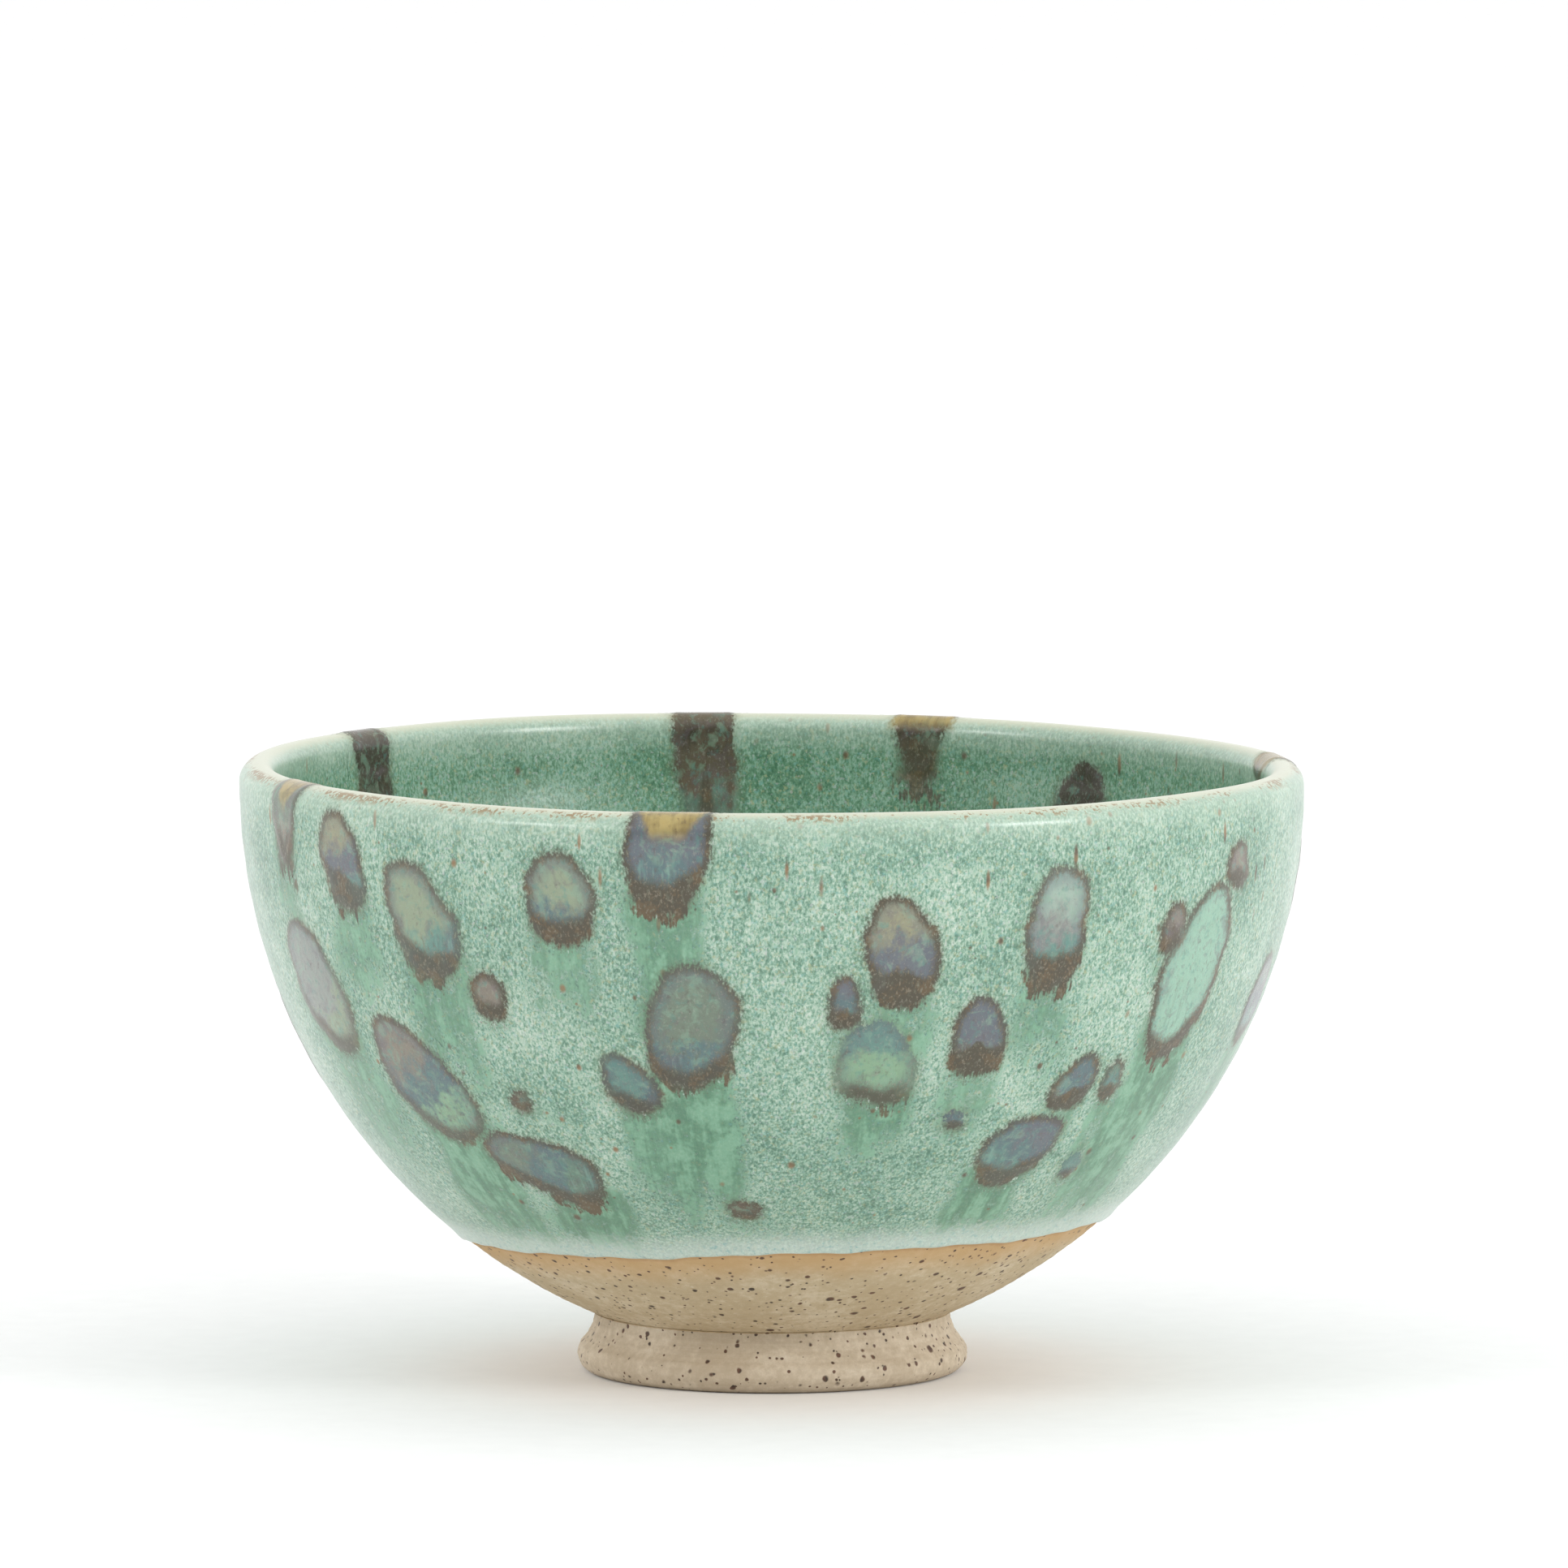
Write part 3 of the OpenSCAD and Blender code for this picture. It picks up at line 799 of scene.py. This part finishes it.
class Glaze(Paint):
    """One glaze for coats and drops alike: it follows what the drops do at each point."""

    def __init__(self, name):
        super().__init__(bpy.data.materials.new(name))
        self.tree.nodes.clear()
        self.here = self.place()
        self.shore, self.fall = self.field("shore"), self.field("fall")
        self.crest, self.hem = self.field("crest"), self.field("hem")
        self.low = self.field("under").ease(0.15, 0.95)
        self.inward = self.crest.ease(-1.5, -6.5)

        # Grain drawn out a little downhill, and long downhill streaks
        grain_place = self.stretched(self.here, (1.0, 1.0, 0.62))
        streak_place = self.downhill_place()
        self.fine = self.noise(grain_place, 0.27, 2.0, 0.6)
        self.finer = self.noise(self.shifted(grain_place, (0.3, 0.1, 0.2)), 0.5, 3.0, 0.6)
        self.middle = self.noise(self.here, 2.2, 2.0, 0.5)
        self.cloud = self.noise(self.here, 11.0, 2.0, 0.5)
        self.streak = self.noise(streak_place, 0.55, 2.0, 0.6)
        self.wide_streak = self.noise(streak_place, 1.9, 2.0, 0.5)
        self.blue = self.noise(self.shifted(self.here, (0.1, 0.9, 0.4)), 0.55, 3.0,
                               0.65).ease(0.54, 0.7)

    def downhill_place(self):
        height = self.node("ShaderNodeSeparateXYZ", {}, {0: self.here}, "Z")
        level = self.node("ShaderNodeVectorMath", {"operation": "MULTIPLY"},
                          {0: self.here, 1: (1.0, 1.0, 0.0)})
        round_axis = self.node("ShaderNodeVectorMath", {"operation": "NORMALIZE"},
                               {0: level})
        drum = self.stretched(round_axis, (BOWL_R * MM,) * 3)
        downhill = self.node("ShaderNodeCombineXYZ", {}, {"Z": height * 0.16}, 0)
        return self.node("ShaderNodeVectorMath", {"operation": "ADD"},
                         {0: drum, 1: downhill})


def crystals(g):
    """Ground: pale crystals over a deeper green."""
    body = g.fine * 0.56 + g.finer * 0.34 + g.middle * 0.14 + g.cloud * 0.22 - 0.13
    spread = body.ease(0.31, 0.7)
    ground = g.mix(g.inward, g.ramp(spread, TONE_PLACES, OUTSIDE_TONES),
                   g.ramp(spread, TONE_PLACES, INSIDE_TONES))
    khaki = g.noise(g.shifted(g.here, (0.7, 0.2, 0.1)), 0.6, 3.0, 0.65)
    lilac = g.noise(g.shifted(g.here, (0.4, 0.6, 0.9)), 0.45, 2.0, 0.6)
    pits = g.noise(g.shifted(g.here, (0.8, 0.3, 0.6)), 0.36, 2.0, 0.6)
    ground = g.mix(khaki.ease(0.54, 0.7) * 0.5, ground, "khaki crystal")
    ground = g.mix(g.blue * 0.45, ground, "blue crystal")
    ground = g.mix(lilac.ease(0.58, 0.7) * 0.42, ground, "lilac crystal")
    return g.mix(pits.ease(0.6, 0.7) * 0.5, ground, "green pit")


def with_runs(g, ground):
    """Green runs below the drops: smoother, deeper, drawn downhill."""
    broken = (g.middle - 0.5) * 1.1 + (g.finer - 0.5) * 1.3 + (g.fine - 0.5) * 0.9
    reach = g.field("run") + broken * 1.3 + (g.wide_streak - 0.5) * 0.5
    soaked = reach.ease(0.3, 0.8)
    drawn = g.wide_streak * 0.35 + g.middle * 0.35 + g.streak * 0.15 + g.finer * 0.15
    run_hue = g.ramp(drawn.ease(0.38, 0.62), (0.0, 0.5, 1.0), RUN_TONES)
    return g.mix(soaked * 0.86, ground, run_hue)


def with_rust(g, ground):
    """Rust specks, and short dark threads near the rim."""
    rust = g.specks(g.stretched(g.here, (1.0, 1.0, 0.72)), 4.0, 0.62, 0.8, 0.7)
    small = g.specks(g.shifted(g.here, (0.2, 0.4, 0.3)), 2.4, 0.32, 0.8, 0.7)
    drawn_out = g.stretched(g.shifted(g.here, (0.5, 0.1, 0.6)), (1.0, 1.0, 0.22))
    thread = g.specks(drawn_out, 2.4, 0.42, 0.8, 0.6)
    threads_high = 1.0 - g.crest.ease(9.0, 22.0)
    spotted = rust.highest(small * 0.8).highest(thread * threads_high)
    spotted = spotted * (0.6 + 0.8 * g.finer).lowest(1.0)
    rust_hue = g.mix(g.middle.ease(0.4, 0.6), "dark rust", "light rust")
    return g.mix(spotted * 0.9, ground, rust_hue)


def with_rim(g, ground):
    """Paler, creamy on the crest, with ochre flecks just below it."""
    over = g.crest.size()
    ground = g.mix((1.0 - over.ease(0.8, 6.5)) * 0.5, ground, "pale rim")
    cream = 1.0 - (over + (g.fine - 0.5) * 1.2).ease(0.7, 2.0)
    ground = g.mix(cream * 0.75, ground, "cream crest")
    fleck_band = g.crest.ease(0.5, 1.1) * (1.0 - g.crest.ease(1.5, 2.6))
    fleck = (g.finer + (g.cloud - 0.5) * 0.8).ease(0.52, 0.62) * fleck_band
    return g.mix(fleck * 0.85, ground, "ochre fleck")


def with_hem(g, ground):
    """Thin whitish band where the coat ends."""
    uneven = (g.finer - 0.5) * 4.0 + (g.middle - 0.5) * 2.0
    ending = 1.0 - (g.hem + uneven).ease(1.0, 5.5)
    ground = g.mix(ending * 0.66, ground, "white hem")
    return g.mix(ending * g.blue * 0.6, ground, "blue hem")


def with_halo(g, ground):
    """Halo and speckle just outside a drop."""
    halo = 1.0 - (g.shore + (g.finer - 0.5) * 1.6).ease(0.1, 1.7)
    ground = g.mix(halo * (0.55 + 0.45 * g.low) * 0.5, ground, "halo")
    spray = g.low * (1.0 - g.shore.ease(0.6, 2.6)) * g.fine.ease(0.55, 0.62)
    ground = g.mix(spray * 0.65, ground, "dark spray")
    glint = g.low * (1.0 - g.shore.ease(0.6, 2.4)) * g.finer.ease(0.62, 0.68)
    return g.mix(glint * 0.6, ground, "silver glint")


def melted_drop(g):
    """Inside of a drop, from its crown down to its sole."""
    drift = (g.finer - 0.5) * 0.7 + (g.wide_streak - 0.5) * 0.5 + (g.middle - 0.5) * 1.1
    tilt = g.fall + drift
    melt = g.mix(tilt.ease(0.5, -0.05), g.field_hue("crown"), g.field_hue("belly"))
    melt = g.mix(tilt.ease(-0.12, -0.55), melt, g.field_hue("sole"))
    side_tint = (g.shore + (g.middle - 0.5) * 2.4).ease(-2.6, -0.7)
    melt = g.mix(side_tint * g.field("flank") * 0.5, melt, "blue flank")
    swirl = g.noise(g.shifted(g.here, (0.6, 0.2, 0.5)), 2.0, 3.0, 0.62, 0.6)
    melt = g.mix(swirl.ease(0.52, 0.66) * 0.38, melt, "green swirl")
    melt = g.mix(swirl.ease(0.47, 0.34) * 0.34, melt, "violet swirl")
    strands = (g.streak - 0.5) * (g.fall + (g.middle - 0.5)).ease(0.1, -0.8)
    melt = g.mix(strands.ease(0.02, 0.16) * 0.3, melt, "pale strand")
    melt = g.mix(strands.ease(-0.02, -0.16) * 0.3, melt, "dark strand")
    melt = g.mix(g.finer.ease(0.56, 0.7) * 0.4, melt, "brown grain")
    melt = g.mix(g.fine.ease(0.56, 0.7) * 0.3, melt, "silver grain")
    teal = g.noise(g.shifted(g.here, (0.2, 0.7, 0.3)), 1.1, 3.0, 0.65)
    return g.mix(teal.ease(0.53, 0.68) * 0.4, melt, "teal")


def ragged_shore(g):
    """Distance from the drops' edges, frayed, and more so at their low ends."""
    ragged = (g.shore + (g.streak - 0.5) * (0.2 + 0.7 * g.low)
              + (g.fine - 0.5) * 1.3 + (g.finer - 0.5) * 1.2)
    return ragged * (1.0 - 0.55 * g.inward)


def dark_band(g, ragged):
    """Where the dark ring, the pool at the low end and its ragged fringe lie."""
    inner_bank = 0.0 - (0.42 + g.field("pool") * g.low)
    fingers = (g.streak * 0.5 + g.middle * 0.5).ease(0.42, 0.66)
    outer_bank = 0.06 + g.field("fringe") * g.low * fingers * 0.9
    from_inner = (ragged - inner_bank).ease(-0.7 - 0.5 * g.low, 0.35)
    to_outer = 1.0 - (ragged - outer_bank).ease(-0.2, 0.7)
    uneven = (g.cloud - 0.5) * 0.5 + (g.middle - 0.5) * 0.5
    strength = (g.field("ring") + 0.1 * g.low + uneven).lowest(1.0)
    return from_inner * to_outer * strength.highest(g.low * 0.9)


def ring_hue(g):
    rusty = (g.middle + (g.fine - 0.5) * 0.6).ease(0.5, 0.66)
    hue = g.mix(rusty * 0.6, "dark ring", "rusty ring")
    hue = g.mix(g.finer.ease(0.54, 0.68) * 0.45, hue, "grey ring grain")
    return g.mix(g.fine.ease(0.56, 0.68) * 0.35, hue, "silver ring grain")


def with_gold(g, hue):
    """Gold where a drop crosses the crest."""
    reach = g.crest * 0.62 + g.shore + (g.finer - 0.5) * 1.2
    gilt = g.field("gold") * (1.0 - reach.ease(-0.9, 0.3))
    gilt = gilt * (1.0 - g.crest.ease(2.4, 5.0)) * g.crest.ease(-3.0, -1.2)
    veined = (g.middle * 0.7 + g.streak * 0.3).ease(0.42, 0.6)
    gilt_hue = g.mix(veined, "gold", "pale gold")
    gilt_hue = g.mix(g.finer.ease(0.58, 0.7) * 0.5, gilt_hue, "burnt gold")
    return g.mix(gilt * 0.9, hue, gilt_hue)


def glaze_paint(name):
    g = Glaze(name)
    ground = crystals(g)
    for add in (with_runs, with_rust, with_rim, with_hem, with_halo):
        ground = add(g, ground)
    ragged = ragged_shore(g)
    within = 1.0 - ragged.ease(-0.15, 0.25)
    banded = dark_band(g, ragged)
    hue = g.mix(banded, g.mix(within, ground, melted_drop(g)), ring_hue(g))
    hue = with_gold(g, hue)
    dark = banded.highest(within * 0.5)
    roughness = 0.33 + (g.finer - 0.5) * 0.16 + banded * 0.08 - within * 0.07
    relief = (g.fine - 0.5) * (1.0 - within * 0.6) + (g.middle - 0.5) * 0.8 + dark * 0.2
    return g.finish(hue, roughness, g.bump(relief, 0.012),
                    {"IOR": 1.5, "Coat Weight": 0.3, "Coat Roughness": 0.2})


# ---- The bare clay
CLAY_PLACES = (0.0, 0.3, 0.6, 0.9)
UNDERSIDE_SHADES = (190, 170, 136), (198, 180, 148), (210, 194, 165), (216, 202, 176)
FOOT_SHADES = (190, 174, 150), (200, 185, 162), (212, 198, 176), (220, 208, 188)


def clay_paint(name, flash, shades):
    p = new_paint(name)
    here = p.place()
    height = p.node("ShaderNodeSeparateXYZ", {}, {0: here}, "Z")
    tooth = p.noise(here, 0.22, 3.0, 0.7)
    grain = p.noise(here, 0.9, 3.0, 0.6)
    patch = p.noise(here, 9.0, 3.0, 0.55)
    turned = p.noise(p.stretched(here, (0.03, 0.03, 1.0)), 0.5, 2.0, 0.6)
    hue = p.ramp((patch * 0.55 + grain * 0.45).ease(0.34, 0.76), CLAY_PLACES, shades)
    hue = p.mix(tooth.ease(0.35, 0.65) * 0.16, hue, "worn clay")
    hue = p.mix(turned.ease(0.52, 0.7) * 0.12, hue, "turned groove")
    if flash:
        hem = p.field("hem")
        glow = 1.0 - (0.0 - hem + (patch - 0.5) * 3.0).ease(0.2, 6.5)
        hue = p.mix(glow * 0.75, hue, "toasted clay")
        stain = 1.0 - (0.0 - hem + (grain - 0.5) * 0.6).ease(0.05, 0.7)
        hue = p.mix(stain * 0.3, hue, "stained edge")
    jitter = p.node("ShaderNodeTexNoise", {},
                    {"Vector": here, "Scale": 1.0 / (0.8 * MM), "Detail": 1.0}, "Color")
    crooked = p.node("ShaderNodeVectorMath", {"operation": "ADD"},
                     {0: here, 1: p.stretched(jitter, (0.3 * MM,) * 3)})
    dots = p.specks(crooked, 0.94, 0.26, 0.85, 0.45)
    grit = p.specks(p.shifted(crooked, (0.11, 0.31, 0.2)), 1.7, 0.44, 0.85, 0.4)
    blots = p.specks(p.shifted(crooked, (0.5, 0.2, 0.7)), 4.3, 0.72, 0.85, 0.4)
    iron = dots.highest(grit).highest(blots)
    iron_hue = p.mix(grain.ease(0.4, 0.6), "dark iron", "brown iron")
    hue = p.mix(iron * 0.94, hue, iron_hue)
    burn = p.specks(p.shifted(here, (0.9, 0.4, 0.1)), 11.0, 1.6, 0.2, 0.9)
    hue = p.mix(burn * 0.3, hue, "burn")
    pale = p.specks(p.shifted(here, (0.3, 0.8, 0.5)), 5.0, 0.3, 0.3, 0.5)
    hue = p.mix(pale * 0.5, hue, "pale grit")
    # Darker towards the floor, over the lowest 0.9 mm of the foot
    low = 1.0 - height.ease(0.0, 0.9 * MM)
    hue = p.mix(low * 0.25, hue, "soiled foot")
    roughness = 0.78 + (grain - 0.5) * 0.2 - iron * 0.25
    relief = (tooth - 0.5) * 0.5 + (turned - 0.5) * 0.7 - iron * 0.5 + (grain - 0.5) * 0.5
    return p.finish(hue, roughness, p.bump(relief, 0.04), {"IOR": 1.45})


# ---- Pieces
def clay_section():
    """Clay from the top of the recess, out over the foot joint, up the outside, over
    the rim and down the inside to the middle of the floor."""
    recess = RECESS_R * np.linspace(0, 1, 34)[:-1]
    dome = FOOT_Z + RECESS_RISE * (1 - (recess / RECESS_R) ** 2)
    joint = [(RECESS_R, FOOT_Z), (RECESS_R + 2.5, FOOT_Z), (NECK_R - 0.4, FOOT_Z)]
    shown = np.linspace(skin.along[-1], EDGE_ALONG - 6.5, 62)
    under = np.column_stack(skin.at(shown, UNDER_COAT))
    hidden = np.concatenate([np.linspace(EDGE_ALONG - 9, 4, 24), np.linspace(3, -3, 13),
                             np.linspace(-5, POLE_ALONG, 40)])
    rest = np.column_stack(skin.at(hidden, COAT - UNDER_LAP))
    rest[-1, 0] = 0.0
    return list(zip(recess, dome)) + joint + [tuple(q) for q in np.vstack([under, rest])]


def clay_body():
    mesh = to_mesh("clay_body", spin_up(clay_section(), STEPS, False))
    flat = vertices(mesh)
    bearing = bearing_at(flat)
    r, z = np.hypot(flat[:, 0], flat[:, 1]), flat[:, 2].copy()
    below = z < LINE_Z + 3
    outside_foot = r > NECK_R - 0.1
    trim = 0.03 * np.sin(math.tau * r / 1.1 + 2 * bearing) + 0.02 * np.sin(math.tau * r / 0.47)
    z += np.where(below & outside_foot, trim * ease(r, NECK_R, NECK_R + 1.5), 0.0)
    dome = r < RECESS_R - 0.5
    spiral = 0.09 * np.sin(math.tau * r / 2.3 + bearing) * ease(r, 0.0, 2.0)
    z += np.where(below & dome, spiral * (1 - ease(r, RECESS_R - 2, RECESS_R - 0.5)), 0.0)
    move_vertices(mesh, set_down(bearing, r, z) * MM)
    along = np.where(below & outside_foot, skin.outside(z), 0.0)
    mark(mesh, {"hem": line_along(bearing) - along})
    close_poles(mesh)
    return finish_piece("clay_body", mesh, "bowl_body",
                        clay_paint("bare_clay", True, UNDERSIDE_SHADES))


def foot_section():
    """Foot ring: land, rounded outer edge, flare up to the joint, and the inside."""
    edge_r, flare_r = 2.0, 5.5025
    edge_x = FOOT_R - edge_r
    flare_x = NECK_R + flare_r
    touch = math.degrees(math.atan2(FOOT_Z - edge_r, flare_x - edge_x))
    round_edge = arc((edge_x, edge_r), (edge_r, edge_r), -90, touch)[::22]
    flare = arc((flare_x, FOOT_Z), (flare_r, flare_r), 180 + touch, 180)[::16]
    land = [(16.9, 0.02), (17.6, 0.0), (18.4, 0.0), (19.2, 0.0)]
    inside = [(RECESS_R, FOOT_Z), (RECESS_R + 0.12, 6.2), (RECESS_R + 0.3, 4.6),
              (RECESS_R + 0.5, 3.0), (RECESS_R + 0.66, 1.7), (RECESS_R + 0.82, 0.95),
              (RECESS_R + 1.05, 0.5), (RECESS_R + 1.4, 0.2)]
    top = [(NECK_R - 0.6, FOOT_Z + 0.15), (RECESS_R + 0.4, FOOT_Z + 0.15)]
    return land + [tuple(q) for q in round_edge] + [tuple(q) for q in flare[1:]] + top + inside


def foot():
    mesh = to_mesh("foot", spin_up(foot_section(), STEPS, True))
    flat = vertices(mesh)
    bearing = bearing_at(flat)
    r, z = np.hypot(flat[:, 0], flat[:, 1]), flat[:, 2]
    free = ease(z, 0.1, 1.2) * (1 - ease(z, FOOT_Z - 1.0, FOOT_Z - 0.1))
    grooves = 0.03 * np.sin(math.tau * z / 1.3 + bearing) + 0.02 * np.sin(math.tau * z / 0.6)
    sway = 0.07 * np.sin(2 * bearing + 0.4) + 0.04 * np.sin(5 * bearing)
    r = r + free * (grooves + sway)
    move_vertices(mesh, upright(bearing, r, z) * MM)
    return finish_piece("foot", mesh, "foot_ring",
                        clay_paint("bare_clay_foot", False, FOOT_SHADES))


def outer_section():
    start = np.concatenate([LAP_ALONG + np.array([0.0, 0.06, 0.16, 0.3]),
                            np.linspace(0, 4.2, 15)])
    wall = np.linspace(4.9, EDGE_ALONG - 3.0, 76)
    roll = [(2.3, 0.0), (1.7, -0.05), (1.2, -0.12), (0.8, -ROLL_RISE), (0.5, -0.16),
            (0.28, -0.1), (0.12, 0.0), (0.03, 0.12), (0.0, 0.24), (0.25, 0.32)]
    shown = [(a, 0.0) for a in np.concatenate([start, wall])]
    shown += [(EDGE_ALONG - back, depth) for back, depth in roll]
    under = [(a, COAT + UNDER_LAP if a < HOLD_ALONG + 2 else 0.34)
             for a in np.linspace(EDGE_ALONG - 2, 3.0, 12)]
    under += [(a, COAT + UNDER_LAP) for a in (2.0, 1.0, 0.2, LAP_ALONG)]
    return shown + under


def liner_section():
    shown = np.concatenate([np.linspace(POLE_ALONG, -4.6, 92), np.linspace(-4.0, -0.8, 12),
                            LAP_ALONG + np.array([-0.16, -0.06, 0.0])])
    tucked = [(LAP_ALONG + 0.05, 0.02), (-0.2, 0.05), (0.1, 0.12), (0.4, 0.25)]
    under = np.concatenate([[0.5, 0.0, -1.0, -2.0, -3.5], np.linspace(-6, POLE_ALONG, 16)])
    return [(a, 0.0) for a in shown] + tucked + [(a, COAT + UNDER_LAP) for a in under]


coat_paint = glaze_paint("green_glaze")
drop_paint = glaze_paint("drop_glaze")

clay_body()
foot()
coat_piece("outer_coat", outer_section(), FINE_STEPS, True, "outer_glaze",
           coat_paint)
coat_piece("liner_coat", liner_section(), STEPS, False, "liner_glaze",
           coat_paint)
drop_piece("outer_spots", "outer", "outer_drops", (48, 30), drop_paint)
drop_piece("rim_spills", "rim", "rim_drops", (72, 96), drop_paint)
drop_piece("liner_spots", "liner", "liner_drops", (48, 30), drop_paint)


# ---- Studio
def studio_floor():
    p = new_paint("paper_floor")
    fibre = p.noise(p.place(), 4.0, 3.0, 0.6)
    hue = p.node("ShaderNodeValToRGB",
                 {"stops": [(0.3, (0.92,) * 3 + (1,)), (0.7, (0.94,) * 3 + (1,))]},
                 {"Fac": fibre}, "Color")
    paper = p.finish(hue, 0.9 + fibre * 0.05, p.bump(fibre, 0.01), {"Specular IOR Level": 0.1})
    bm = bmesh.new()
    bmesh.ops.create_grid(bm, x_segments=2, y_segments=2, size=14.0)
    mesh = bpy.data.meshes.new("floor")
    bm.to_mesh(mesh)
    bm.free()
    mesh.materials.append(paper)
    floor = bpy.data.objects.new("floor", mesh)
    bpy.context.scene.collection.objects.link(floor)


def soft_box(name, place, aim, size, power):
    light = bpy.data.lights.new(name, "AREA")
    light.shape = "RECTANGLE"
    light.size, light.size_y = size
    light.energy = power
    lamp = bpy.data.objects.new(name, light)
    bpy.context.scene.collection.objects.link(lamp)
    lamp.location = place
    away = lamp.location - Vector(aim)
    lamp.rotation_euler = away.to_track_quat("Z", "Y").to_euler()


def studio():
    """A bright room overhead and behind, dimmer towards the camera, and two soft boxes."""
    world = bpy.data.worlds.new("studio")
    bpy.context.scene.world = world
    room = Paint(world)
    facing = room.node("ShaderNodeTexCoord", {}, {}, "Generated")
    forward = room.node("ShaderNodeSeparateXYZ", {}, {0: facing}, "Y")
    upward = room.node("ShaderNodeSeparateXYZ", {}, {0: facing}, "Z")
    front = (0.0 - forward).ease(-0.1, 0.95) * (1.0 - upward.ease(0.05, 0.75))
    glow = 1.13 - 0.95 * front
    backdrop = room.tree.nodes["Background"]
    room.tree.links.new(glow.socket, backdrop.inputs["Strength"])
    backdrop.inputs["Color"].default_value = (1.0, 1.0, 1.0, 1.0)
    middle = (0.0, 0.0, 0.035)
    soft_box("left_box", (-1.15, -0.78, 0.75), middle, (0.34, 0.34), 4.0)
    soft_box("right_box", (1.15, -0.72, 0.55), middle, (0.4, 0.4), 6.5)
    bpy.context.scene.view_settings.view_transform = "Standard"


def camera():
    data = bpy.data.cameras.new("camera")
    data.sensor_width = 36.0
    data.lens = 366.07
    data.clip_end = 100.0
    view = bpy.data.objects.new("camera", data)
    bpy.context.scene.collection.objects.link(view)
    distance, rise = 1.8, deg(6.72)
    view.location = (0.0, -distance * math.cos(rise), 0.035 + distance * math.sin(rise))
    view.rotation_euler = (math.pi / 2 - deg(5.724), 0.0, deg(-0.0432))
    bpy.context.scene.camera = view


studio_floor()
studio()
camera()
